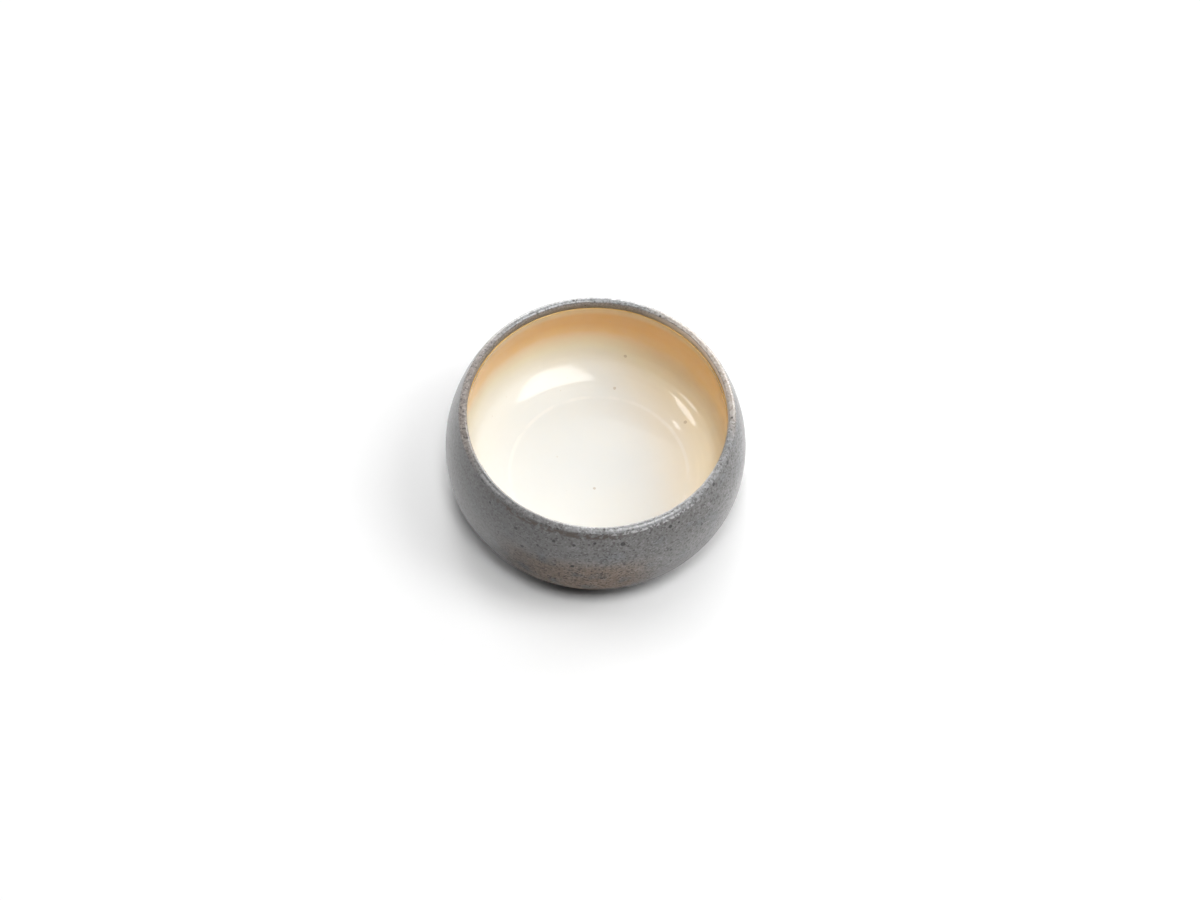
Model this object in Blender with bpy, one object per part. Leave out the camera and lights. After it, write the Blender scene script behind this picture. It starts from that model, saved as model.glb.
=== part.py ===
"""Handleless tea cup: a thrown stoneware body with a grey glaze outside and a cream glaze inside.

Metres, +Z up. The origin is the centre of the foot, on the table that the cup stands on.
The clay wall is drawn once, as a line of (radius, height) points that runs from the middle of the
floor up the inside, over the lip, down the outside and under the foot. Both glazes follow that line.
"""

import math

import bmesh
import bpy
from mathutils import Vector

MM = 0.001

# The fired clay body
BELLY_RADIUS = 41.85 * MM  # widest outside radius
BELLY_HEIGHT = 21.7 * MM  # from the table up to the widest point
BELLY_WALL = 3.0 * MM  # clay at the widest point
LIP_RISE = 18.2 * MM  # from the widest point up to the lip's outer edge
LIP_DRAW_IN = 4.05 * MM  # from the widest point in to the lip's outer edge
LIP_WALL = 1.5 * MM  # clay between the lip's two edges
LIP_CROWN = 0.6 * MM  # round top of the lip, above its edges
FLOOR_RADIUS = 25.7 * MM  # ring where the inside wall meets the floor
FLOOR_WALL = 4.35 * MM  # clay under that ring, down to the recess
FLOOR_DISH = 0.6 * MM  # how far the middle of the floor sinks below the ring
BOWL_RISE = 3.2 * MM  # even climb of the inside, from the ring out to the wall
BOWL_FULLNESS = 5.0  # exponent of the bend from that climb up to the inside wall: 2 is an ellipse
TAPER_DROP = 13.2 * MM  # from the widest point down to where the outside wall turns straight
TAPER_DRAW_IN = 3.7 * MM  # from the widest point in to there
FOOT_HEIGHT = 1.2 * MM  # height of the bare foot that the straight wall ends on
FOOT_DRAW_IN = 0.7 * MM  # from the end of the wall in to the heel
FOOT_WIDTH = 4.5 * MM  # width of the foot ring, from the heel in
FOOT_ROUND = 0.25 * MM  # rounding of the turned corners
RECESS_DEPTH = 1.4 * MM  # hollow turned inside the foot ring

# The two glazes
OUTER_COAT = 0.35 * MM  # thickness of the grey glaze
LINER_COAT = 0.35 * MM  # thickness of the cream glaze
GLAZE_FIT = 0.3 * MM  # clearance between a glaze and the clay
BARE_WALL = 0.4 * MM  # height of bare clay between the foot and the grey glaze
BARE_LIP = 1.7 * MM  # height of bare clay between the lip's inner edge and the cream glaze

# Fineness of the mesh
TURN_STEPS = 60
WALL_STEPS = 6
BOWL_STEPS = 10
FLOOR_STEPS = 3
CROWN_STEPS = 6
ROUND_STEPS = 2
ROUND_SHARE = 0.45  # most of a turned wall that one rounding takes
WELD = 0.001 * MM
SMOOTH_ANGLE = math.radians(30)


def clear_scene():
    for item in list(bpy.data.objects):
        bpy.data.objects.remove(item, do_unlink=True)


def finish(name, colour, roughness):
    """A material of one colour, with its gloss."""
    material = bpy.data.materials.new(name)
    material.use_nodes = True
    shader = material.node_tree.nodes["Principled BSDF"]
    shader.inputs["Base Color"].default_value = (*colour, 1.0)
    shader.inputs["Roughness"].default_value = roughness
    shader.inputs["Metallic"].default_value = 0.0
    return material


def joined(*lines):
    """The lines end to end, each starting where the one before it stops."""
    whole = list(lines[0])
    for line in lines[1:]:
        whole += line[1:]
    return whole


def swell(widest, end, stop):
    """A wall from its widest point towards its end, as far as the height stop.

    It lies on an ellipse about the cup's axis, and is upright at the widest point.
    """
    rise = (end.y - widest.y) / math.sin(math.acos(end.x / widest.x))
    sweep = math.asin((stop - widest.y) / rise)
    angles = [sweep * step / WALL_STEPS for step in range(WALL_STEPS + 1)]
    return [Vector((widest.x * math.cos(a), widest.y + rise * math.sin(a))) for a in angles]


def bowl_corner(ring, widest):
    """The lower inside wall, which climbs evenly from the floor's ring and bends until it is upright."""
    angles = [math.pi / 2 * step / BOWL_STEPS for step in range(BOWL_STEPS + 1)]
    outward = [abs(math.sin(a)) ** (2 / BOWL_FULLNESS) for a in angles]
    upward = [1 - abs(math.cos(a)) ** (2 / BOWL_FULLNESS) for a in angles]
    reach = widest - ring
    bend = reach.y - BOWL_RISE
    return [ring + Vector((reach.x * x, BOWL_RISE * x + bend * y)) for x, y in zip(outward, upward)]


def crown(inner, outer):
    """The lip's round top, half an ellipse from its inner edge over to its outer edge."""
    middle = (inner + outer) / 2
    half = (outer - inner) / 2
    up = half.orthogonal().normalized() * LIP_CROWN
    angles = [math.pi * (1 - step / CROWN_STEPS) for step in range(CROWN_STEPS + 1)]
    return [middle + half * math.cos(a) + up * math.sin(a) for a in angles]


def arc_at(before, corner, after, radius):
    """The arc that rounds off a corner between two straight stretches."""
    back = (before - corner).normalized()
    ahead = (after - corner).normalized()
    half_opening = back.angle(ahead) / 2
    centre = corner + (back + ahead).normalized() * radius / math.sin(half_opening)
    start = corner + back * radius / math.tan(half_opening) - centre
    stop = corner + ahead * radius / math.tan(half_opening) - centre
    turn = math.atan2(start.x * stop.y - start.y * stop.x, start.dot(stop))
    first = math.atan2(start.y, start.x)
    angles = [first + turn * step / ROUND_STEPS for step in range(ROUND_STEPS + 1)]
    return [centre + radius * Vector((math.cos(a), math.sin(a))) for a in angles]


def turned(corners):
    """A line through the corners that a turning tool leaves, each one rounded but the two ends."""
    radius = min(FOOT_ROUND, ROUND_SHARE * min(FOOT_WIDTH, FOOT_HEIGHT, RECESS_DEPTH))
    line = [corners[0]]
    for before, corner, after in zip(corners, corners[1:], corners[2:]):
        line += arc_at(before, corner, after, radius)
    return line + [corners[-1]]


def parallel(line, distance):
    """The line moved to its left, which is away from the clay. A point on the axis stays on it."""
    mirrored = Vector((-line[1].x, line[1].y))
    ends = [mirrored if line[0].x == 0 else 2 * line[0] - line[1], 2 * line[-1] - line[-2]]
    longer = [ends[0], *line, ends[1]]
    moved = []
    for before, point, after in zip(longer, line, longer[2:]):
        along = (point - before).normalized() + (after - point).normalized()
        moved.append(point + distance * Vector((-along.y, along.x)).normalized())
    return moved


def coat(line, thickness):
    """The closed outline of a glaze that follows a line of the clay, with rounded edges."""
    edge = line[-1] + (line[-1] - line[-2]).normalized() * thickness / 2
    middle = parallel([*line, edge], GLAZE_FIT + thickness / 2)
    outline = [*parallel(line, GLAZE_FIT + thickness), middle[-1], *reversed(parallel(line, GLAZE_FIT))]
    if line[0].x > 0:
        start = line[0] + (line[0] - line[1]).normalized() * thickness / 2
        outline.append(parallel([start, *line], GLAZE_FIT + thickness / 2)[0])
    return outline


def revolve(name, outline, is_ring, material, parent):
    """A solid turned about the axis. A ring's outline is closed, any other starts and ends on the axis."""
    mesh = bpy.data.meshes.new(name)
    work = bmesh.new()
    points = [work.verts.new((p.x, 0.0, p.y)) for p in outline]
    followers = points[1:] + points[:1] if is_ring else points[1:]
    edges = [work.edges.new(pair) for pair in zip(points, followers)]
    bmesh.ops.spin(work, geom=points + edges, axis=(0, 0, 1), angle=math.tau, steps=TURN_STEPS)
    bmesh.ops.remove_doubles(work, verts=work.verts, dist=WELD)
    bmesh.ops.recalc_face_normals(work, faces=work.faces)
    work.to_mesh(mesh)
    work.free()
    mesh.shade_smooth()
    mesh.set_sharp_from_angle(angle=SMOOTH_ANGLE)
    mesh.materials.append(material)
    solid = bpy.data.objects.new(name, mesh)
    solid.parent = parent
    bpy.context.scene.collection.objects.link(solid)


def inside_lines(lip_edge):
    """The clay of the inside: its floor and lower wall, its upper wall, and as much of that as is glazed."""
    ring_height = RECESS_DEPTH + FLOOR_WALL
    ring = Vector((FLOOR_RADIUS, ring_height))
    widest = Vector((BELLY_RADIUS - BELLY_WALL, BELLY_HEIGHT))
    shares = [step / FLOOR_STEPS for step in range(FLOOR_STEPS + 1)]
    floor = [Vector((FLOOR_RADIUS * s, ring_height - FLOOR_DISH * (1 - s * s))) for s in shares]
    upper = swell(widest, lip_edge, lip_edge.y)
    glazed_upper = swell(widest, lip_edge, lip_edge.y - BARE_LIP)
    return joined(floor, bowl_corner(ring, widest)), upper, glazed_upper


def run_on(line, height):
    """The point at a height that a line comes to when its last stretch runs on straight."""
    stretch = line[-1] - line[-2]
    return line[-1] + stretch * (height - line[-1].y) / stretch.y


def outside_lines():
    """The clay of the outside: its upper wall, and its lower wall down to where it turns straight."""
    widest = Vector((BELLY_RADIUS, BELLY_HEIGHT))
    lip_edge = Vector((BELLY_RADIUS - LIP_DRAW_IN, BELLY_HEIGHT + LIP_RISE))
    taper = Vector((BELLY_RADIUS - TAPER_DRAW_IN, BELLY_HEIGHT - TAPER_DROP))
    return swell(widest, lip_edge, lip_edge.y)[::-1], swell(widest, taper, taper.y)


def foot_line(lower_wall):
    """The straight end of the wall, the foot, the heel, the ring and the recess inside it, in to the axis."""
    wall_end = run_on(lower_wall, FOOT_HEIGHT)
    heel = Vector((wall_end.x - FOOT_DRAW_IN, 0.0))
    ring_edge = Vector((heel.x - FOOT_WIDTH, 0.0))
    recess_edge = Vector((ring_edge.x, RECESS_DEPTH))
    return turned([lower_wall[-1], wall_end, heel, ring_edge, recess_edge, Vector((0.0, RECESS_DEPTH))])


def build_cup():
    outer_upper, outer_lower = outside_lines()
    outer_edge = outer_upper[0]
    wall = (outer_edge - outer_upper[1]).normalized()
    inner_edge = outer_edge - LIP_WALL * Vector((wall.y, -wall.x))
    inner_lower, inner_upper, inner_glazed = inside_lines(inner_edge)
    lip = crown(inner_edge, outer_edge)

    cup = bpy.data.objects.new("tea_cup", None)
    bpy.context.scene.collection.objects.link(cup)
    clay = joined(inner_lower, inner_upper, lip, outer_upper, outer_lower, foot_line(outer_lower))
    revolve("stoneware_body", clay, False, finish("bare_stoneware", (0.20, 0.17, 0.145), 0.7), cup)
    liner = coat(joined(inner_lower, inner_glazed), LINER_COAT)
    revolve("liner_glaze", liner, False, finish("cream_glaze", (0.83, 0.79, 0.69), 0.15), cup)
    over_lip = lip[CROWN_STEPS // 2 :]
    glaze_end = run_on(outer_lower, FOOT_HEIGHT + BARE_WALL)
    outer = coat(joined(over_lip, outer_upper, outer_lower, [outer_lower[-1], glaze_end]), OUTER_COAT)
    revolve("outer_glaze", outer, True, finish("grey_glaze", (0.18, 0.19, 0.195), 0.45), cup)


clear_scene()
build_cup()
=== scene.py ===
"""The looks of the tea cup: its clay and its two glazes as fine meshes, with light and camera.

Metres, +Z up, in the part's frame. The clay wall is one line of (radius, height) points, as in the part.
It runs from the middle of the floor up the inside, over the lip, down the outside and under the foot.
Each surface is a grid of points along that line and round the axis, moved away from the clay.
Azimuths are in degrees from +X, the right of the photograph, towards +Y, its back.
"""

import math
from collections import namedtuple

import bpy
import numpy as np
from mathutils import Matrix, Vector, noise


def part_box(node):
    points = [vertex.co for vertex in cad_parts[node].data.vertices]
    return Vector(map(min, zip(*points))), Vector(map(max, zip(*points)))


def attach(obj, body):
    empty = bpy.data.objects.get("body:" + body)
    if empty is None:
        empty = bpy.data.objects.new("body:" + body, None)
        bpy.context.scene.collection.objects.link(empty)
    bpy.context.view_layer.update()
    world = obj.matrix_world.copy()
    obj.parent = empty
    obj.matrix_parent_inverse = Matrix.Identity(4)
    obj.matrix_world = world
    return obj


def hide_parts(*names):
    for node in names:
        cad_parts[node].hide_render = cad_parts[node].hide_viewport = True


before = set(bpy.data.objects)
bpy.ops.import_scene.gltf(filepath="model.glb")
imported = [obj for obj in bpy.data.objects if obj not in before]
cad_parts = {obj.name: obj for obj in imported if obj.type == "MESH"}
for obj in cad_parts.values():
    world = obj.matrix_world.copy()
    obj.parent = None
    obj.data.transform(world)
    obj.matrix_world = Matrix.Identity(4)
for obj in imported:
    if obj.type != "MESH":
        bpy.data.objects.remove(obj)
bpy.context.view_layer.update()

Line = namedtuple("Line", "length radius height out_radius out_height")
Tint = namedtuple("Tint", "colour amount")
Band = namedtuple("Band", "rise fall side cloud cover tint")
Lamp = namedtuple("Lamp", "name azimuth elevation width height glow roll")

MM = 0.001
clay_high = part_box("stoneware_body")[1]
outer_low, outer_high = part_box("outer_glaze")
liner_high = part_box("liner_glaze")[1]

# The clay wall, with the part's sizes
BELLY_RADIUS = clay_high.x  # widest outside radius
BELLY_HEIGHT = 21.7 * MM  # from the table up to the widest point
BELLY_WALL = 3.0 * MM  # clay at the widest point
LIP_RISE = 18.2 * MM  # from the widest point up to the lip's outer edge
LIP_DRAW_IN = 4.05 * MM  # from the widest point in to the lip's outer edge
LIP_WALL = 1.5 * MM  # clay between the lip's two edges
LIP_CROWN = 0.6 * MM  # round top of the lip, above its edges
FLOOR_RADIUS = 25.7 * MM  # ring where the inside wall meets the floor
FLOOR_HEIGHT = 5.75 * MM  # from the table up to that ring
FLOOR_DISH = 0.6 * MM  # how far the middle of the floor sinks below the ring
BOWL_RISE = 3.2 * MM  # even climb of the inside, from the ring out to the wall
BOWL_FULLNESS = 5.0  # exponent of the bend from that climb up to the inside wall: 2 is an ellipse
TAPER_DROP = 13.2 * MM  # from the widest point down to where the outside wall turns straight
TAPER_DRAW_IN = 3.7 * MM  # from the widest point in to there
WALL_END_DRAW_IN = 7.62 * MM  # from the widest point in to where the straight wall ends
HEEL_DRAW_IN = 8.32 * MM  # from the widest point in to the heel
FOOT_HEIGHT = 1.2 * MM  # height of the bare foot that the straight wall ends on
FOOT_WIDTH = 4.5 * MM  # width of the foot ring, from the heel in
FOOT_ROUND = 0.25 * MM  # how far from a turned corner its rounding starts
RECESS_DEPTH = 1.4 * MM  # hollow turned inside the foot ring

# The glazes, as distances from the clay line
GLAZE_FACE = outer_high.x - clay_high.x
GLAZE_BACK = 0.28 * MM
GLAZE_MIDDLE = (GLAZE_FACE + GLAZE_BACK) / 2
GLAZE_EDGE = 0.2 * MM  # room along the line for a glaze's rounded edge
LINER_TOP = liner_high.z - GLAZE_EDGE
OUTER_END = outer_low.z + GLAZE_EDGE
CLAY_SEAT = 0.24 * MM  # the clay swells out this far to meet the glazes
SEAT_END = 7 * MM  # the swelling ends this far below the start of the straight wall
SEAT_FADE = 1 * MM

# The unevenness of hand work
EDGE_WAVE = 0.14 * MM
EDGE_FADE = 2.5 * MM
LOW_EDGE_WAVES = 3  # how many times more the grey glaze's lower edge waves
WOBBLE = 0.07 * MM
WOBBLE_SIZE = 26 * MM
GRAIN = 0.018 * MM
GRAIN_SIZE = 1.1 * MM
LIP_GRAIN = 0.018 * MM
LIP_REACH = 1.6 * MM
RIPPLE = 0.012 * MM
RIPPLE_PITCH = 2.1 * MM
RIPPLE_DRIFT = 2.0
RIPPLE_SIDE = math.radians(35)  # where round the cup the ripples are deepest
RIPPLE_LEAST = 0.3  # share of their depth that is left on the other side
RIPPLE_START = 2 * MM
RIPPLE_REACH = 18 * MM
RING_RIDGE = 0.05 * MM
RING_WIDTH = 0.5 * MM
RING_SHIFT = 1.4 * MM  # how far the ring stands off centre, towards +X
RING_SHIFT_END = 4.5 * MM  # nothing is shifted further out from the ring than this
RING_SHIFT_FADE = 4 * MM
BEAD = 0.02 * MM
BEAD_WIDTH = 0.7 * MM
CLAY_GRAIN = 0.03 * MM
CLAY_GRAIN_SIZE = 0.8 * MM
CLAY_GRAIN_FLOOR = 0.3 * MM  # the clay is smooth below this height

# Seeds of the waves and of the noise
TOP_EDGE_SEED = 1
LOW_EDGE_SEED = 2
LINER_EDGE_SEED = 5
OUTER_WOBBLE_SEED = 3.7
LINER_WOBBLE_SEED = 6.2
GRAIN_SEED = 11.3
RIPPLE_SEED = 8.1
CLAY_GRAIN_SEED = 2.9

# Fineness of the meshes
TURNS = 480
TURN_ANGLES = np.linspace(0, math.tau, TURNS, endpoint=False)
CURVE_STEPS = 160
ROUND_STEPS = 20
CAP_STEPS = 6
WAVE_COUNTS = np.arange(2, 48)  # how many times the waves of an edge go round the cup
POLE_GAP = 0.4 * MM  # from the axis to the first row
FINE_ROW = 0.1 * MM
RING_ROW = 2 * FINE_ROW
LIP_BACK_ROW = 0.3 * MM
FACE_ROW = 0.38 * MM
FOOT_ROW = 0.45 * MM
FLOOR_ROW = 1.2 * MM
HIDDEN_ROW = 2.4 * MM
LIP_FINE = 1 * MM  # stretch with fine rows below the lip's outer edge
BARE_FINE = 2 * MM  # stretch with fine rows below the lip's inner edge
BEAD_FINE = 2 * MM  # stretch with fine rows below the cream glaze's edge
RING_FINE = 3 * MM  # stretch with fine rows to each side of the floor's ring

# The camera, from the photograph's 1200 by 900 frame
PHOTO_WIDTH = 1200
PHOTO_HEIGHT = 900
LENS = 66.0  # millimetres, on a sensor 36 wide
SENSOR = 36.0
CAMERA_ELEVATION = math.radians(59.55)
CAMERA_ROLL = math.radians(3.41)
CAMERA_DISTANCE = 0.625
CAMERA_CLIP = 0.01
BELLY_PIXEL = (595.65, 445.89)  # where the photograph has the middle of the belly

# Lamps that only light the surfaces: azimuth, elevation, width, height, brightness and roll
LAMP_DISTANCE = 1.0
SHADING_LAMPS = (
    Lamp("right_key", -7, 55, 25, 30, 5.5, 0),
    Lamp("front_top", -86, 73, 14, 12, 22, 0),
    Lamp("back_top", 105, 72.5, 14.4, 39.7, 4.7, 0),
    Lamp("left_fill", 162, 39.5, 24.8, 34.7, 1.75, 0),
    Lamp("back_fill", 63, 33, 54.5, 25, 2.3, 0),
)

# Lamps that only show as a gleam. They hang nearer, so that no other lamp lies in their plane
GLEAM_DISTANCE = 0.9
GLEAM_LAMPS = (
    Lamp("leaf_gleam", -31, 67.5, 22.5, 41, 4.6, 34),
    Lamp("high_gleam", 172, 62, 17, 7, 6.5, 0),
    Lamp("low_gleam", 193, 39, 13, 10, 4.6, 0),
    Lamp("lip_gleam", 80, 20, 84, 40, 4.6, 0),
)

# The table and the world
WHITE = (1.0, 1.0, 1.0)
TABLE_HALF = 3.0
TABLE_BOUNCE = (0.78, 0.78, 0.785)  # the table's colour for the light that it throws on the cup
TABLE_FADE = (0.2, 0.5)  # distances over which the seen table turns as white as the world
WORLD_FILL = 0.02

# In the materials, a cloud is a size and a detail, and a contrast is where noise counts as 0 and as 1.
# Heights are where something starts and where it is full.
# A side is an azimuth, and how far out that way it starts and is full.
# Specks are a cell, the share of the cells that hold one, and the largest radius.
# A tint is a colour and how much of it covers. A bump is a strength and a depth.
SPECK_EDGE = 0.25  # share of a speck's radius over which its edge fades
SPOT_SHAKE = 0.4 * MM  # how far noise moves the outline of a spot
SPOT_SHAKE_SIZE = 0.7 * MM
SPOT_EDGE = (1.8, 1.3)  # where a spot starts and is full, in its radii

# The bare clay
CLAY_CLOUD = (0.5 * MM, 3.0)
CLAY_CONTRAST = (0.3, 0.7)
CLAY_DARK = (0.19, 0.163, 0.14)
CLAY_LIGHT = (0.36, 0.315, 0.275)
# Pink at the right: partly the clay's own pink, partly painted light from the right
CLAY_PINK_AND_PAINTED_LIGHT = Tint((0.74, 0.62, 0.51), 0.85)
CLAY_PINK_SIDE = (32, 26 * MM, 36 * MM)
# Painted contact shade: the foot darkened nearly to black where the table's shadow falls
CLAY_FOOT_PAINTED_SHADE = Tint((0.04, 0.032, 0.027), 1.0)
PAINTED_FOOT_SHADE_HEIGHTS = (6 * MM, 2 * MM)
CLAY_SPECKS = (1.6 * MM, 0.4, 0.45 * MM)
CLAY_SPECK = Tint((0.05, 0.035, 0.025), 1.0)
CLAY_ROUGHNESS = (0.6, 0.8)
CLAY_BUMP = (0.4, 0.06 * MM)

# Sand in the grey glaze, from the darkest grains to the palest: all over, where the glaze turns brown,
# over the lip, where its paleness is partly painted reflection, and at the lip's right, partly painted light
GREY_SAND = (
    (0.0, (0.03, 0.027, 0.025)),
    (0.14, (0.07, 0.068, 0.067)),
    (0.35, (0.126, 0.127, 0.129)),
    (0.75, (0.152, 0.156, 0.161)),
    (1.0, (0.225, 0.232, 0.238)),
)
BROWN_SAND = (
    (0.0, (0.048, 0.035, 0.028)),
    (0.14, (0.125, 0.093, 0.073)),
    (0.35, (0.225, 0.171, 0.135)),
    (0.75, (0.275, 0.214, 0.173)),
    (1.0, (0.37, 0.305, 0.255)),
)
PALE_SAND_AND_PAINTED_SHEEN = (
    (0.0, (0.13, 0.128, 0.126)),
    (0.2, (0.235, 0.236, 0.238)),
    (0.45, (0.31, 0.315, 0.32)),
    (0.8, (0.38, 0.388, 0.395)),
    (1.0, (0.50, 0.51, 0.52)),
)
# Pink sand at the lip's right: partly pink glaze, partly painted light from the right
PINK_SAND_AND_PAINTED_LIGHT = (
    (0.0, (0.27, 0.22, 0.18)),
    (0.3, (0.37, 0.305, 0.25)),
    (0.7, (0.46, 0.39, 0.33)),
    (1.0, (0.57, 0.50, 0.44)),
)
SAND_CELL = 0.5 * MM
MOTTLE_CLOUD = (2.4 * MM, 3.0)
MOTTLE_CONTRAST = (0.3, 0.7)
MOTTLE_SHARE = 0.1

# Brown patches, most of them low in front, and painted shade at the left, away from the light
FLUSH_CLOUD = (6 * MM, 4.0)
FLUSH_CONTRAST = (0.28, 0.54)
FLUSH_HEIGHTS = (32 * MM, 25 * MM)
FLUSH_SIDE = (-96, 34 * MM, 41.5 * MM)
FLUSH_LEAST = 0.15  # share of the patches that is left elsewhere
LEFT_SIDE = (-155, 12 * MM, 42 * MM)
LEFT_PAINTED_SHADE = Tint((0.05, 0.049, 0.048), 0.62)

# The grey glaze over the lip: paler glaze with painted reflection, most at the back, brown at the left, pink
# with painted light at the right, and painted glints
LIP_HEIGHTS = (39.7 * MM, 40.5 * MM)
LIP_PALE = 0.6
LIP_BACK_SIDE = (105, -20 * MM, 25 * MM)
# Painted reflection of the lamps behind, added to the lip's pale sand at the back
LIP_BACK_PAINTED_SHEEN = 0.3  # added to the pale sand at the back
LIP_FRONT_LEFT_SIDE = (-140, 22 * MM, 36 * MM)
LIP_FRONT_LEFT_PALE = 0.5  # taken from it at the front left
LIP_SIDES = (
    ((172, 26 * MM, 37 * MM), BROWN_SAND, 0.6),
    ((32, 26 * MM, 37 * MM), PINK_SAND_AND_PAINTED_LIGHT, 0.85),
)
BROWN_LINE = Band(
    rise=(38.0 * MM, 38.9 * MM),
    fall=(40.3 * MM, 39.6 * MM),
    side=(-106, 31 * MM, 37 * MM),
    cloud=(1.5 * MM, 2.0),
    cover=(0.40, 0.52),
    tint=Tint((0.05, 0.032, 0.022), 0.95),
)
# Painted glints: pale flecks where the lip's edge catches the light at the front right
PAINTED_GLINTS = Band(
    rise=(39.3 * MM, 39.7 * MM),
    fall=(40.4 * MM, 40.1 * MM),
    side=(-62, 35 * MM, 38 * MM),
    cloud=(1.0 * MM, 1.0),
    cover=(0.45, 0.6),
    tint=Tint((0.62, 0.62, 0.62), 0.9),
)

# Painted contact shade at the bottom of the grey glaze, its specks, and its iron spots: azimuth, height and
# radius in millimetres
PAINTED_CONTACT_SHADE_HEIGHTS = (8 * MM, 2.5 * MM)
PAINTED_CONTACT_SHADE = Tint((0.03, 0.025, 0.021), 0.85)
DARK_SPECKS = (1.25 * MM, 0.38, 0.46 * MM)
DARK_SPECK = Tint((0.025, 0.021, 0.018), 0.85)
IRON_SPOT = Tint((0.006, 0.005, 0.004), 1.0)
OUTSIDE_SPOTS = (
    (-134, 36.7, 0.25), (-120, 34.8, 0.35), (-116, 29.4, 0.36), (-110, 32.5, 0.25), (-104, 35.9, 0.33),
    (-96, 27.5, 0.35), (-96, 35.9, 0.30), (-88, 37.2, 0.30), (-77, 36.5, 0.45), (-57, 37.5, 0.38),
    (-53, 37.4, 0.22), (-58, 28.7, 0.28), (-58, 23.2, 0.25), (-43, 30.9, 0.27), (-32, 39.6, 0.35),
    (-20, 39.4, 0.40), (60, 30.0, 0.35), (112, 26.0, 0.30), (150, 33.0, 0.35),
)

# The gloss of the grey glaze, each pair from the satin glaze to where it is flushed, or dry below the belly
GREY_ROUGHNESS = (0.3, 0.75)
GREY_COAT = (0.4, 0.0)
GREY_SPECULAR = (0.5, 0.15)
DRY_HEIGHTS = (25 * MM, 15 * MM)
LIP_SMOOTHNESS = 0.1  # taken from the roughness over the lip
LIP_COAT = 0.3  # added to the coat there
COAT_ROUGHNESS = 0.14
GREY_BUMP_CLOUD = (0.6 * MM, 2.0)
GREY_BUMP = (0.3, 0.05 * MM)

# The cream glaze from the floor up to the lip, where the kiln flashed it
FLASHING = (
    (0.0, (0.735, 0.795, 0.825)),
    (0.1, (0.79, 0.83, 0.83)),
    (0.2, (0.88, 0.88, 0.81)),
    (0.3, (0.92, 0.885, 0.755)),
    (0.4, (0.935, 0.87, 0.67)),
    (0.55, (0.91, 0.745, 0.49)),
    (0.7, (0.89, 0.56, 0.21)),
    (0.85, (0.86, 0.465, 0.105)),
    (1.0, (0.86, 0.455, 0.085)),
)
FLASH_HEIGHTS = (5 * MM, 32 * MM)
FLASH_CLOUD = (16 * MM, 2.0)
FLASH_DRIFT = 3 * MM  # how far the flashing wanders up and down
# This side also places the painted shade on the low right wall
FLASH_AND_SHADE_SIDE = (20, 8 * MM, 36 * MM)  # where it reaches further down
FLASH_REACH = 7.5 * MM
FLASH_REACH_HEIGHTS = (30 * MM, 10 * MM)
# Painted shade on the low right wall, where the rim's shadow falls
LOW_RIGHT_PAINTED_SHADE = Tint((0.40, 0.31, 0.20), 0.24)
LOW_RIGHT_SHADE_HEIGHTS = (28 * MM, 15 * MM)
PALE_CLOUD = (5 * MM, 3.0)
PALE_TINT = Tint((0.80, 0.80, 0.77), 0.12)
CREASE_RADIUS = FLOOR_RADIUS + 0.2 * MM
CREASE_WIDTHS = (0.7 * MM, 0.2 * MM)
CREASE_CONTRAST = (0.3, 0.55)
CREASE_TINT = Tint((0.95, 0.95, 0.93), 0.3)
TOP_HEIGHTS = (32.5 * MM, 35.5 * MM)
TOP_TINT = Tint((0.88, 0.61, 0.26), 0.8)
CREAM_SPECKS = (2.2 * MM, 0.25, 0.3 * MM)
CREAM_SPECK = Tint((0.45, 0.34, 0.22), 0.2)
CREAM_SPOT = Tint((0.33, 0.24, 0.13), 0.42)
CREAM_GLOSS_CLOUD = (3 * MM, 2.0)
CREAM_ROUGHNESS = (0.03, 0.065)
CREAM_BUMP = (0.1, 0.05 * MM)

# Spots in the cream glaze: azimuth, then distance from the axis, height and radius in millimetres
INSIDE_SPOTS = (
    (-86, 4.9, 5.9, 0.28), (81, 29.1, 7.3, 0.3), (35, 31.5, 7.9, 0.34), (79, 37.6, 12.4, 0.34),
)


def swell(widest, end):
    """A wall on an ellipse about the axis, from its widest point, where it is upright, to its end."""
    sweep = math.acos(end[0] / widest[0])
    rise = (end[1] - widest[1]) / math.sin(sweep)
    angles = np.linspace(0, sweep, CURVE_STEPS)
    return np.column_stack([widest[0] * np.cos(angles), widest[1] + rise * np.sin(angles)])


def bowl_corner(ring, widest):
    """The lower inside wall, which climbs evenly from the floor's ring and bends until it is upright."""
    angles = np.linspace(0, math.pi / 2, CURVE_STEPS)
    outward = np.abs(np.sin(angles)) ** (2 / BOWL_FULLNESS)
    upward = 1 - np.abs(np.cos(angles)) ** (2 / BOWL_FULLNESS)
    reach = widest - ring
    rise = BOWL_RISE * outward + (reach[1] - BOWL_RISE) * upward
    return np.column_stack([ring[0] + reach[0] * outward, ring[1] + rise])


def crown(inner, outer):
    """The lip's round top, half an ellipse from its inner edge over to its outer edge."""
    half = (outer - inner) / 2
    up = np.array([-half[1], half[0]]) / np.linalg.norm(half) * LIP_CROWN
    angles = np.linspace(math.pi, 0, CURVE_STEPS)
    return (inner + outer) / 2 + np.outer(np.cos(angles), half) + np.outer(np.sin(angles), up)


def turned(corners):
    """A line through the corners that a turning tool leaves, each one rounded but the two ends."""
    line = [corners[0]]
    for before, corner, after in zip(corners, corners[1:], corners[2:]):
        back = (before - corner) / np.linalg.norm(before - corner) * FOOT_ROUND
        ahead = (after - corner) / np.linalg.norm(after - corner) * FOOT_ROUND
        for share in np.linspace(0, 1, ROUND_STEPS):
            line.append(corner + back * (1 - share) ** 2 + ahead * share**2)
    return np.array(line + [corners[-1]])


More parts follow.
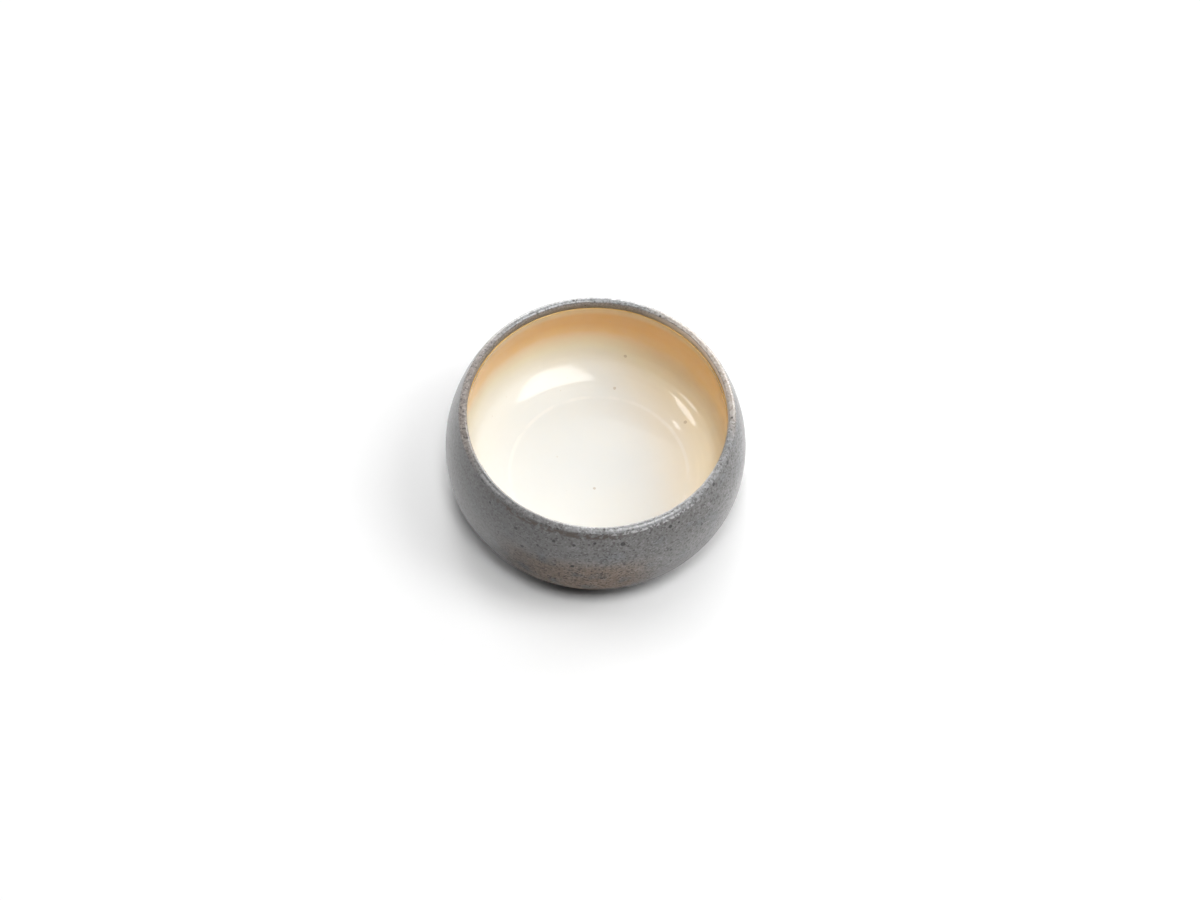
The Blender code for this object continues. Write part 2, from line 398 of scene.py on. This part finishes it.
def wall_sections():
    """The clay's line in named stretches, in order."""
    belly_out = np.array([BELLY_RADIUS, BELLY_HEIGHT])
    belly_in = np.array([BELLY_RADIUS - BELLY_WALL, BELLY_HEIGHT])
    lip_out = np.array([BELLY_RADIUS - LIP_DRAW_IN, BELLY_HEIGHT + LIP_RISE])
    taper = np.array([BELLY_RADIUS - TAPER_DRAW_IN, BELLY_HEIGHT - TAPER_DROP])
    wall_end = np.array([BELLY_RADIUS - WALL_END_DRAW_IN, FOOT_HEIGHT])
    heel = np.array([BELLY_RADIUS - HEEL_DRAW_IN, 0.0])
    ring = np.array([FLOOR_RADIUS, FLOOR_HEIGHT])
    outside = swell(belly_out, lip_out)[::-1]
    along = (outside[0] - outside[1]) / np.linalg.norm(outside[0] - outside[1])
    lip_in = lip_out - LIP_WALL * np.array([along[1], -along[0]])
    shares = np.linspace(0, 1, CURVE_STEPS)
    foot_inner = heel[0] - FOOT_WIDTH
    corners = [taper, wall_end, heel, (foot_inner, 0.0), (foot_inner, RECESS_DEPTH), (0.0, RECESS_DEPTH)]
    return {
        "floor": np.column_stack([FLOOR_RADIUS * shares, FLOOR_HEIGHT - FLOOR_DISH * (1 - shares**2)]),
        "corner": bowl_corner(ring, belly_in),
        "inside": swell(belly_in, lip_in),
        "crown": crown(lip_in, lip_out),
        "outside": outside,
        "lower": swell(belly_out, taper),
        "foot": turned(np.array(corners)),
    }


def wall_line():
    """The whole line, and how far along it each stretch ends."""
    sections = wall_sections()
    points = np.concatenate([section[1:] for section in sections.values()])
    points = np.vstack([sections["floor"][:1], points])
    steps = np.linalg.norm(np.diff(points, axis=0), axis=1)
    length = np.concatenate([[0.0], np.cumsum(steps)])
    counts = np.cumsum([len(section) - 1 for section in sections.values()])
    ends = dict(zip(sections, length[counts]))
    slope = np.gradient(points, length, axis=0)
    slope /= np.linalg.norm(slope, axis=1, keepdims=True)
    return Line(length, points[:, 0], points[:, 1], -slope[:, 1], slope[:, 0]), ends


def grid_of(line, along, depth):
    """Points round the axis, at distances along the line and away from the clay, both rows by turns."""
    reach = np.interp(along, line.length, line.radius)
    reach = reach + depth * np.interp(along, line.length, line.out_radius)
    height = np.interp(along, line.length, line.height)
    height = height + depth * np.interp(along, line.length, line.out_height)
    return np.stack([reach * np.cos(TURN_ANGLES), reach * np.sin(TURN_ANGLES), height], axis=-1)


def cloud_at(points, size, seed):
    """Smooth noise from about -1 to 1, with features of a size, at a grid of points."""
    places = points.reshape(-1, 3) / size + seed
    return np.array([noise.noise(place) for place in places.tolist()]).reshape(points.shape[:-1])


def wave_round(seed):
    """A gentle wave round the cup, from about -1 to 1."""
    chance = np.random.default_rng(seed)
    phases = chance.uniform(0, math.tau, len(WAVE_COUNTS))
    heights = chance.uniform(0.3, 1.0, len(WAVE_COUNTS)) / np.sqrt(WAVE_COUNTS)
    wave = np.sin(np.outer(TURN_ANGLES, WAVE_COUNTS) + phases) @ heights
    return wave / np.abs(wave).max()


def stations(*stops):
    """Distances along a line: (from, to, spacing) stretches, end to end."""
    parts = []
    for start, stop, spacing in stops:
        count = max(2, math.ceil(abs(stop - start) / spacing) + 1)
        parts.append(np.linspace(start, stop, count)[1:])
    return np.concatenate([[stops[0][0]], *parts])


def cap(stop, side):
    """The rounded edge of a glaze past its stop: distances along the line and away from the clay."""
    half = (GLAZE_FACE - GLAZE_BACK) / 2
    angles = np.linspace(math.pi / 2, -math.pi / 2, CAP_STEPS + 2)[1:-1]
    return stop + side * half * np.cos(angles), GLAZE_MIDDLE + half * np.sin(angles)


def hump(along, middle, width):
    """One where along is at the middle, and less the further from it."""
    return np.exp(-(((along - middle) / width) ** 2))


def mesh_piece(name, grid, is_ring, material):
    """A closed mesh from a grid of rows by turns. Rows of a ring meet again, any others end on the axis."""
    rows, turns = grid.shape[:2]
    index = np.arange(rows * turns).reshape(rows, turns)
    following = np.roll(index, -1, axis=0) if is_ring else index[1:]
    current = index if is_ring else index[:-1]
    corners = [current, following, np.roll(following, -1, axis=1), np.roll(current, -1, axis=1)]
    faces = np.stack(corners, axis=-1).reshape(-1, 4).tolist()
    points = grid.reshape(-1, 3).tolist()
    if not is_ring:
        for row, flip in ((index[0], False), (index[-1], True)):
            pole = len(points)
            points.append((0.0, 0.0, float(grid.reshape(-1, 3)[row, 2].mean())))
            for this, other in zip(row.tolist(), np.roll(row, -1).tolist()):
                faces.append((pole, other, this) if flip else (pole, this, other))
    mesh = bpy.data.meshes.new(name)
    mesh.from_pydata(points, [], faces)
    mesh.validate()
    mesh.shade_smooth()
    mesh.materials.append(material)
    piece = bpy.data.objects.new(name, mesh)
    bpy.context.scene.collection.objects.link(piece)
    return piece


def stand_for(piece, node):
    """Puts a piece in the place of one of the part's nodes."""
    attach(piece, "root")
    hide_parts(node)


def make_outer_glaze(line, ends, material):
    """The grey glaze, from the top of the lip down to the heel."""
    start = (ends["inside"] + ends["crown"]) / 2
    lip = ends["crown"]
    wall = (line.length > ends["outside"]) & (line.radius > BELLY_RADIUS - WALL_END_DRAW_IN)
    stop = np.interp(-OUTER_END, -line.height[wall], line.length[wall])
    face = stations((start, lip + LIP_FINE, FINE_ROW), (lip + LIP_FINE, stop, FACE_ROW))
    back = stations((stop, lip, HIDDEN_ROW), (lip, start, LIP_BACK_ROW))
    low_cap, low_depth = cap(stop, 1)
    top_cap, top_depth = cap(start, -1)
    along = np.concatenate([face, low_cap, back, top_cap[::-1]])
    face_depth = np.full(len(face), GLAZE_FACE)
    back_depth = np.full(len(back), GLAZE_BACK)
    depth = np.concatenate([face_depth, low_depth, back_depth, top_depth[::-1]])
    shows = (depth > GLAZE_MIDDLE).astype(float)
    slide = np.outer(hump(along, start, EDGE_FADE / 2), wave_round(TOP_EDGE_SEED))
    slide += np.outer(hump(along, stop, EDGE_FADE), wave_round(LOW_EDGE_SEED)) * LOW_EDGE_WAVES
    along_grid = along[:, None] + EDGE_WAVE * slide
    flat = grid_of(line, along_grid, depth[:, None])
    relief = WOBBLE * cloud_at(flat, WOBBLE_SIZE, OUTER_WOBBLE_SEED)
    near_lip = hump(along, lip, LIP_REACH)[:, None]
    relief += shows[:, None] * (GRAIN + LIP_GRAIN * near_lip) * cloud_at(flat, GRAIN_SIZE, GRAIN_SEED)
    grid = grid_of(line, along_grid, depth[:, None] + relief)
    piece = mesh_piece("outer_glaze_coat", grid, True, material)
    stand_for(piece, "outer_glaze")


def ring_relief(line, along, ring):
    """The floor's ring, by rows and turns: its ridge, and the lift that sets it off centre."""
    fade = np.clip((ring + RING_SHIFT_END - along) / RING_SHIFT_FADE, 0, 1)[:, None]
    aside = RING_SHIFT * np.cos(TURN_ANGLES) * fade
    lift = np.interp(along[:, None] - aside, line.length, line.height)
    lift -= np.interp(along, line.length, line.height)[:, None]
    return lift + RING_RIDGE * hump(along[:, None], ring + aside, RING_WIDTH)


def ripple_relief(flat, along, ring):
    """The ripples of throwing, by rows and turns, which start at the ring and die out up the wall."""
    drift = RIPPLE_DRIFT * cloud_at(flat, WOBBLE_SIZE, RIPPLE_SEED)
    ripple = np.sin(math.tau * along[:, None] / RIPPLE_PITCH + drift)
    above_ring = np.clip((along - ring) / RIPPLE_START, 0, 1) * hump(along, ring, RIPPLE_REACH)
    ripple *= RIPPLE_LEAST + (1 - RIPPLE_LEAST) * np.clip(np.cos(TURN_ANGLES - RIPPLE_SIDE), 0, 1)
    return RIPPLE * above_ring[:, None] * ripple


def make_liner(line, ends, material):
    """The cream glaze, from the middle of the floor up to its bead below the lip."""
    upper = (line.length > ends["corner"]) & (line.length < ends["inside"])
    stop = line.length[upper][np.argmax(line.height[upper] > LINER_TOP)]
    ring = ends["floor"]
    face = stations(
        (POLE_GAP, ring - RING_FINE, FLOOR_ROW),
        (ring - RING_FINE, ring + RING_FINE, RING_ROW),
        (ring + RING_FINE, stop - BEAD_FINE, FACE_ROW),
        (stop - BEAD_FINE, stop, FINE_ROW),
    )
    back = stations((stop, POLE_GAP, HIDDEN_ROW))
    top_cap, top_depth = cap(stop, 1)
    along = np.concatenate([face, top_cap, back])
    depth = np.concatenate([np.full(len(face), GLAZE_FACE), top_depth, np.full(len(back), GLAZE_BACK)])
    shows = (depth > GLAZE_MIDDLE).astype(float)
    slide = np.outer(hump(along, stop, EDGE_FADE), wave_round(LINER_EDGE_SEED))
    along_grid = along[:, None] + EDGE_WAVE * slide
    flat = grid_of(line, along_grid, depth[:, None])
    ridges = ring_relief(line, along, ring) + BEAD * hump(along, stop, BEAD_WIDTH)[:, None]
    relief = WOBBLE * cloud_at(flat, WOBBLE_SIZE, LINER_WOBBLE_SEED)
    relief += shows[:, None] * (ridges + ripple_relief(flat, along, ring))
    grid = grid_of(line, along_grid, depth[:, None] + relief)
    piece = mesh_piece("liner_glaze_coat", grid, False, material)
    stand_for(piece, "liner_glaze")


def make_clay(line, ends, material):
    """The stoneware, which shows between the glazes at the lip and below the outer glaze."""
    lip_start = ends["inside"] - BARE_FINE
    heel_start = ends["lower"]
    along = stations(
        (POLE_GAP, lip_start, HIDDEN_ROW),
        (lip_start, ends["crown"], FINE_ROW),
        (ends["crown"], heel_start, HIDDEN_ROW),
        (heel_start, line.length[-1] - POLE_GAP, FOOT_ROW),
    )
    seat = CLAY_SEAT * np.clip((ends["lower"] + SEAT_END - along) / SEAT_FADE, 0, 1)
    along_grid = along[:, None] + np.zeros(TURNS)
    flat = grid_of(line, along_grid, seat[:, None])
    stands = (flat[..., 2] > CLAY_GRAIN_FLOOR) & (along > lip_start)[:, None]
    relief = CLAY_GRAIN * stands * cloud_at(flat, CLAY_GRAIN_SIZE, CLAY_GRAIN_SEED)
    relief += WOBBLE * (seat > 0)[:, None] * cloud_at(flat, WOBBLE_SIZE, OUTER_WOBBLE_SEED)
    grid = grid_of(line, along_grid, seat[:, None] + relief)
    piece = mesh_piece("stoneware_clay", grid, False, material)
    stand_for(piece, "stoneware_body")


def add(tree, kind, inputs=None, **settings):
    """A node with its settings, and its inputs linked to sockets or set to values."""
    made = tree.nodes.new("ShaderNode" + kind)
    for name, value in settings.items():
        setattr(made, name, value)
    for socket, value in (inputs or {}).items():
        if isinstance(value, bpy.types.NodeSocket):
            tree.links.new(value, made.inputs[socket])
        else:
            made.inputs[socket].default_value = value
    return made


def start_material(name):
    """A material with its node tree, its shader, and the places on the surface that its textures follow."""
    material = bpy.data.materials.new(name)
    material.use_nodes = True
    tree = material.node_tree
    place = add(tree, "TexCoord").outputs["Object"]
    return material, tree, tree.nodes["Principled BSDF"], place


def opaque(colour):
    """Red, green and blue with full alpha. A socket stays as it is."""
    return (*colour, 1.0) if isinstance(colour, tuple) else colour


def height_of(tree, place):
    return add(tree, "SeparateXYZ", {"Vector": place}).outputs["Z"]


def cloud(tree, place, size, detail):
    """Noise from 0 to 1 with features of a size."""
    inputs = {"Vector": place, "Scale": 1 / size, "Detail": detail}
    return add(tree, "TexNoise", inputs).outputs["Fac"]


def span(tree, value, low, high):
    """0 where the value is at low, 1 where it is at high, smooth between."""
    inputs = {"Value": value, "From Min": low, "From Max": high}
    return add(tree, "MapRange", inputs, interpolation_type="SMOOTHSTEP").outputs["Result"]


def between(tree, share, low, high):
    """From low where the share is 0 to high where it is 1."""
    return add(tree, "MapRange", {"Value": share, "To Min": low, "To Max": high}).outputs["Result"]


def calc(tree, operation, first, second=0.0):
    return add(tree, "Math", {0: first, 1: second}, operation=operation).outputs[0]


def product(tree, first, *others):
    """All the values multiplied."""
    for other in others:
        first = calc(tree, "MULTIPLY", first, other)
    return first


def blend(tree, share, first, second):
    """Two colours mixed by a share."""
    sockets = {0: share, 6: opaque(first), 7: opaque(second)}
    return add(tree, "Mix", sockets, data_type="RGBA").outputs[2]


def tinted(tree, colour, share, tint):
    """A colour that a tint covers by its amount where the share is 1."""
    return blend(tree, product(tree, share, tint.amount), colour, tint.colour)


def ramp(tree, share, stops):
    """Colours that follow each other as the share grows, each stop a share and a colour."""
    made = add(tree, "ValToRGB", {0: share})
    while len(made.color_ramp.elements) < len(stops):
        made.color_ramp.elements.new(0.5)
    for element, (at, colour) in zip(made.color_ramp.elements, stops):
        element.position = at
        element.color = opaque(colour)
    return made.outputs["Color"]


def on_side(tree, place, azimuth, start, full):
    """How much a place belongs to one side of the cup, by how far out from the axis that way it lies."""
    way = (math.cos(math.radians(azimuth)), math.sin(math.radians(azimuth)), 0.0)
    out = add(tree, "VectorMath", {0: place, 1: way}, operation="DOT_PRODUCT").outputs["Value"]
    return span(tree, out, start, full)


def specks(tree, place, cell, share, radius):
    """Small round dots at random places, some cells holding one, each with its own size."""
    cells = add(tree, "TexVoronoi", {"Vector": place, "Scale": 1 / cell})
    chances = add(tree, "SeparateColor", {"Color": cells.outputs["Color"]})
    size = product(tree, chances.outputs["Red"], radius / cell)
    inside = calc(tree, "SUBTRACT", size, cells.outputs["Distance"])
    chosen = calc(tree, "LESS_THAN", chances.outputs["Green"], share)
    return product(tree, span(tree, inside, 0.0, SPECK_EDGE * radius / cell), chosen)


def grains(tree, place, size):
    """A random value from 0 to 1 for each grain of sand."""
    cells = add(tree, "TexVoronoi", {"Vector": place, "Scale": 1 / size})
    return add(tree, "SeparateColor", {"Color": cells.outputs["Color"]}).outputs["Red"]


def dots_at(tree, place, spots):
    """Uneven dots at chosen places, each spot a point and a radius."""
    shake = add(tree, "TexNoise", {"Vector": place, "Scale": 1 / SPOT_SHAKE_SIZE}).outputs["Color"]
    inputs = {0: shake, 1: (SPOT_SHAKE,) * 3, 2: place}
    moved = add(tree, "VectorMath", inputs, operation="MULTIPLY_ADD").outputs[0]
    start, full = SPOT_EDGE
    share = 0.0
    for point, radius in spots:
        centre = [value + SPOT_SHAKE / 2 for value in point]
        gap = add(tree, "VectorMath", {0: moved, 1: centre}, operation="DISTANCE").outputs["Value"]
        share = calc(tree, "MAXIMUM", share, span(tree, gap, start * radius, full * radius))
    return share


def bump(tree, height, strength, distance):
    inputs = {"Height": height, "Strength": strength, "Distance": distance}
    return add(tree, "Bump", inputs).outputs["Normal"]


def clay_material():
    """The bare clay: brown-grey sand with dark specks, pink with painted light at the right, and painted
    contact shade nearly black at the foot.
    """
    material, tree, shader, place = start_material("bare_stoneware_clay")
    sand = span(tree, cloud(tree, place, *CLAY_CLOUD), *CLAY_CONTRAST)
    colour = blend(tree, sand, CLAY_DARK, CLAY_LIGHT)
    # Pink with painted light at the right
    colour = tinted(tree, colour, on_side(tree, place, *CLAY_PINK_SIDE), CLAY_PINK_AND_PAINTED_LIGHT)
    # Painted contact shade, darkest at the foot
    low = span(tree, height_of(tree, place), *PAINTED_FOOT_SHADE_HEIGHTS)
    colour = tinted(tree, colour, low, CLAY_FOOT_PAINTED_SHADE)
    colour = tinted(tree, colour, specks(tree, place, *CLAY_SPECKS), CLAY_SPECK)
    tree.links.new(colour, shader.inputs["Base Color"])
    tree.links.new(between(tree, sand, *CLAY_ROUGHNESS), shader.inputs["Roughness"])
    tree.links.new(bump(tree, sand, *CLAY_BUMP), shader.inputs["Normal"])
    return material


def outside_spots(line, ends):
    """The iron spots that stand out on the grey glaze, each a point and a radius."""
    wall = (line.length > ends["crown"]) & (line.length < ends["lower"])
    spots = []
    for azimuth, height, radius in OUTSIDE_SPOTS:
        reach = np.interp(-height * MM, -line.height[wall], line.radius[wall]) + GLAZE_FACE
        turn = math.radians(azimuth)
        spots.append(((reach * math.cos(turn), reach * math.sin(turn), height * MM), radius * MM))
    return spots


def sand_tone(tree, place):
    """How pale each grain of the grey glaze is, mostly by itself and a little by where it lies."""
    sand = grains(tree, place, SAND_CELL)
    mottle = span(tree, cloud(tree, place, *MOTTLE_CLOUD), *MOTTLE_CONTRAST)
    return calc(tree, "ADD", product(tree, sand, 1 - MOTTLE_SHARE), product(tree, mottle, MOTTLE_SHARE))


def wall_sand(tree, place, tone, low_front):
    """The grey glaze's sand on the wall, with its brown patches and painted shade at its left."""
    patches = span(tree, cloud(tree, place, *FLUSH_CLOUD), *FLUSH_CONTRAST)
    most = calc(tree, "ADD", product(tree, low_front, 1 - FLUSH_LEAST), FLUSH_LEAST)
    flush = product(tree, patches, most)
    colour = blend(tree, flush, ramp(tree, tone, GREY_SAND), ramp(tree, tone, BROWN_SAND))
    # Painted shade at the left, away from the light
    return tinted(tree, colour, on_side(tree, place, *LEFT_SIDE), LEFT_PAINTED_SHADE)


def lip_sand(tree, place, tone, near_lip, colour):
    """The colour with the lip's sand over it: paler glaze with painted reflection, most at the back, brown
    at the left, and pink with painted light at the right.
    """
    painted_sheen_behind = on_side(tree, place, *LIP_BACK_SIDE)
    front_left = on_side(tree, place, *LIP_FRONT_LEFT_SIDE)
    pale = calc(tree, "ADD", product(tree, painted_sheen_behind, LIP_BACK_PAINTED_SHEEN), LIP_PALE)
    pale = calc(tree, "SUBTRACT", pale, product(tree, front_left, LIP_FRONT_LEFT_PALE))
    colour = blend(tree, product(tree, near_lip, pale), colour, ramp(tree, tone, PALE_SAND_AND_PAINTED_SHEEN))
    for side, sand, amount in LIP_SIDES:
        share = product(tree, near_lip, on_side(tree, place, *side), amount)
        colour = blend(tree, share, colour, ramp(tree, tone, sand))
    return colour


def broken_band(tree, place, up, band):
    """How much a broken band round one side of the lip covers."""
    share = product(tree, span(tree, up, *band.rise), span(tree, up, *band.fall))
    cover = span(tree, cloud(tree, place, *band.cloud), *band.cover)
    return product(tree, share, on_side(tree, place, *band.side), cover)


def link_grey_gloss(tree, shader, up, low_front, near_lip):
    """The grey glaze's gloss: satin, dull where it is flushed, glassy over the lip, dry below the belly."""
    dry = span(tree, up, *DRY_HEIGHTS)
    rough = between(tree, low_front, *GREY_ROUGHNESS)
    rough = calc(tree, "SUBTRACT", rough, product(tree, near_lip, LIP_SMOOTHNESS))
    tree.links.new(rough, shader.inputs["Roughness"])
    coat = between(tree, low_front, *GREY_COAT)
    coat = calc(tree, "ADD", coat, product(tree, near_lip, LIP_COAT))
    coat = product(tree, coat, calc(tree, "SUBTRACT", 1.0, dry))
    tree.links.new(coat, shader.inputs["Coat Weight"])
    tree.links.new(between(tree, dry, *GREY_SPECULAR), shader.inputs["Specular IOR Level"])
    shader.inputs["Coat Roughness"].default_value = COAT_ROUGHNESS


def grey_glaze_material(spots):
    """The speckled grey glaze of the outside."""
    material, tree, shader, place = start_material("grey_glaze_speckled")
    up = height_of(tree, place)
    tone = sand_tone(tree, place)
    low_front = product(tree, span(tree, up, *FLUSH_HEIGHTS), on_side(tree, place, *FLUSH_SIDE))
    near_lip = span(tree, up, *LIP_HEIGHTS)
    colour = wall_sand(tree, place, tone, low_front)
    colour = lip_sand(tree, place, tone, near_lip, colour)
    # A brown line, and painted glints at the front right of the lip
    for band in (BROWN_LINE, PAINTED_GLINTS):
        colour = tinted(tree, colour, broken_band(tree, place, up, band), band.tint)
    # Painted contact shade: the glaze darkened towards the table
    colour = tinted(tree, colour, span(tree, up, *PAINTED_CONTACT_SHADE_HEIGHTS), PAINTED_CONTACT_SHADE)
    colour = tinted(tree, colour, specks(tree, place, *DARK_SPECKS), DARK_SPECK)
    colour = tinted(tree, colour, dots_at(tree, place, spots), IRON_SPOT)
    tree.links.new(colour, shader.inputs["Base Color"])
    link_grey_gloss(tree, shader, up, low_front, near_lip)
    relief = cloud(tree, place, *GREY_BUMP_CLOUD)
    tree.links.new(bump(tree, relief, *GREY_BUMP), shader.inputs["Normal"])
    return material


def inside_spots():
    """The few brown spots in the cream glaze, each a point and a radius."""
    spots = []
    for azimuth, reach, height, radius in INSIDE_SPOTS:
        turn = math.radians(azimuth)
        point = (reach * MM * math.cos(turn), reach * MM * math.sin(turn), height * MM)
        spots.append((point, radius * MM))
    return spots


def flashed_colour(tree, place):
    """The cream glaze from the floor to the lip, with the flashing further down at the right and painted
    shade on the low right wall.
    """
    up = height_of(tree, place)
    right = on_side(tree, place, *FLASH_AND_SHADE_SIDE)
    wander = calc(tree, "SUBTRACT", cloud(tree, place, *FLASH_CLOUD), 0.5)
    drift = product(tree, wander, FLASH_DRIFT)
    reach = product(tree, right, span(tree, up, *FLASH_REACH_HEIGHTS), FLASH_REACH)
    height = calc(tree, "ADD", calc(tree, "ADD", up, reach), drift)
    low, high = FLASH_HEIGHTS
    inputs = {"Value": height, "From Min": low, "From Max": high}
    level = add(tree, "MapRange", inputs).outputs["Result"]
    # Painted shade on the low right wall
    right_painted_shade = product(tree, right, span(tree, up, *LOW_RIGHT_SHADE_HEIGHTS))
    return tinted(tree, ramp(tree, level, FLASHING), right_painted_shade, LOW_RIGHT_PAINTED_SHADE)


def ring_crease(tree, place, pale):
    """How much a place belongs to the pale, broken crease round the floor."""
    flat = add(tree, "VectorMath", {0: place, 1: (1.0, 1.0, 0.0)}, operation="MULTIPLY").outputs[0]
    centre = (RING_SHIFT, 0.0, 0.0)
    out = add(tree, "VectorMath", {0: flat, 1: centre}, operation="DISTANCE").outputs["Value"]
    off_ring = calc(tree, "ABSOLUTE", calc(tree, "SUBTRACT", out, CREASE_RADIUS))
    return product(tree, span(tree, off_ring, *CREASE_WIDTHS), span(tree, pale, *CREASE_CONTRAST))


def cream_glaze_material():
    """The glossy cream glaze of the inside."""
    material, tree, shader, place = start_material("cream_glaze_flashed")
    pale = cloud(tree, place, *PALE_CLOUD)
    colour = tinted(tree, flashed_colour(tree, place), pale, PALE_TINT)
    colour = tinted(tree, colour, ring_crease(tree, place, pale), CREASE_TINT)
    colour = tinted(tree, colour, span(tree, height_of(tree, place), *TOP_HEIGHTS), TOP_TINT)
    colour = tinted(tree, colour, specks(tree, place, *CREAM_SPECKS), CREAM_SPECK)
    colour = tinted(tree, colour, dots_at(tree, place, inside_spots()), CREAM_SPOT)
    tree.links.new(colour, shader.inputs["Base Color"])
    gloss = cloud(tree, place, *CREAM_GLOSS_CLOUD)
    tree.links.new(between(tree, gloss, *CREAM_ROUGHNESS), shader.inputs["Roughness"])
    tree.links.new(bump(tree, gloss, *CREAM_BUMP), shader.inputs["Normal"])
    return material


def seen_ray(tree):
    """1 for light that is seen, also mirrored or through glass, and 0 for light that falls on things."""
    path = add(tree, "LightPath")
    seen = calc(tree, "MAXIMUM", path.outputs["Is Camera Ray"], path.outputs["Is Transmission Ray"])
    return calc(tree, "MAXIMUM", seen, path.outputs["Is Glossy Ray"])


def table_material():
    """A plain pale table, which far from the cup is as white as the world."""
    material, tree, shader, place = start_material("table_white")
    colour = blend(tree, seen_ray(tree), TABLE_BOUNCE, WHITE)
    near = add(tree, "BsdfDiffuse", {"Color": colour}).outputs[0]
    away = add(tree, "VectorMath", {0: place}, operation="LENGTH").outputs["Value"]
    far = product(tree, span(tree, away, *TABLE_FADE), seen_ray(tree))
    white = add(tree, "Emission", {"Color": opaque(WHITE), "Strength": 1.0}).outputs[0]
    surface = add(tree, "MixShader", {0: far, 1: near, 2: white})
    tree.nodes.remove(shader)
    tree.links.new(surface.outputs[0], tree.nodes["Material Output"].inputs["Surface"])
    return material


def make_floor():
    """The table top, far wider than the view."""
    mesh = bpy.data.meshes.new("table_top")
    corners = [(-1, -1), (1, -1), (1, 1), (-1, 1)]
    mesh.from_pydata([(x * TABLE_HALF, y * TABLE_HALF, 0) for x, y in corners], [], [(0, 1, 2, 3)])
    mesh.materials.append(table_material())
    table = bpy.data.objects.new("table_top", mesh)
    bpy.context.scene.collection.objects.link(table)


def softbox(lamp, mirrored):
    """A rectangular lamp that faces the cup. It shows as a gleam or lights the surfaces, and not both."""
    distance = GLEAM_DISTANCE if mirrored else LAMP_DISTANCE
    light = bpy.data.lights.new(lamp.name, "AREA")
    light.shape = "RECTANGLE"
    light.size = 2 * distance * math.tan(math.radians(lamp.width / 2))
    light.size_y = 2 * distance * math.tan(math.radians(lamp.height / 2))
    light.energy = lamp.glow * light.size * light.size_y * math.pi
    box = bpy.data.objects.new(lamp.name, light)
    turn = math.radians(lamp.azimuth)
    tilt = math.radians(lamp.elevation)
    towards = Vector((math.cos(tilt) * math.cos(turn), math.cos(tilt) * math.sin(turn), math.sin(tilt)))
    box.location = towards * distance
    facing = towards.to_track_quat("Z", "Y").to_matrix()
    box.rotation_euler = (facing @ Matrix.Rotation(math.radians(-lamp.roll), 3, "Z")).to_euler()
    box.visible_camera = False
    box.visible_glossy = mirrored
    box.visible_diffuse = not mirrored
    bpy.context.scene.collection.objects.link(box)


def make_light():
    """A world that is seen as white and hardly lights the cup, and the lamps."""
    world = bpy.data.worlds.new("studio")
    bpy.context.scene.world = world
    world.use_nodes = True
    tree = world.node_tree
    tree.nodes.clear()
    strength = between(tree, seen_ray(tree), WORLD_FILL, 1.0)
    sky = add(tree, "Background", {"Color": opaque(WHITE), "Strength": strength})
    out = add(tree, "OutputWorld")
    tree.links.new(sky.outputs[0], out.inputs["Surface"])
    for lamp in SHADING_LAMPS:
        softbox(lamp, mirrored=False)
    for lamp in GLEAM_LAMPS:
        softbox(lamp, mirrored=True)


def make_camera():
    """The photograph's camera, which has the middle of the belly at the photograph's place."""
    data = bpy.data.cameras.new("photo_camera")
    data.lens = LENS
    data.sensor_width = SENSOR
    data.clip_start = CAMERA_CLIP
    camera = bpy.data.objects.new("photo_camera", data)
    turn = Matrix.Rotation(math.pi / 2 - CAMERA_ELEVATION, 3, "X") @ Matrix.Rotation(CAMERA_ROLL, 3, "Z")
    pixel = CAMERA_DISTANCE * SENSOR / LENS / PHOTO_WIDTH
    aside = (BELLY_PIXEL[0] - PHOTO_WIDTH / 2) * pixel
    down = (BELLY_PIXEL[1] - PHOTO_HEIGHT / 2) * pixel
    place = Vector((0, 0, BELLY_HEIGHT)) + turn @ Vector((-aside, down, CAMERA_DISTANCE))
    camera.matrix_world = Matrix.Translation(place) @ turn.to_4x4()
    bpy.context.scene.collection.objects.link(camera)
    bpy.context.scene.camera = camera


def main():
    bpy.context.scene.view_settings.view_transform = "Standard"
    line, ends = wall_line()
    make_clay(line, ends, clay_material())
    make_outer_glaze(line, ends, grey_glaze_material(outside_spots(line, ends)))
    make_liner(line, ends, cream_glaze_material())
    make_floor()
    make_light()
    make_camera()


main()
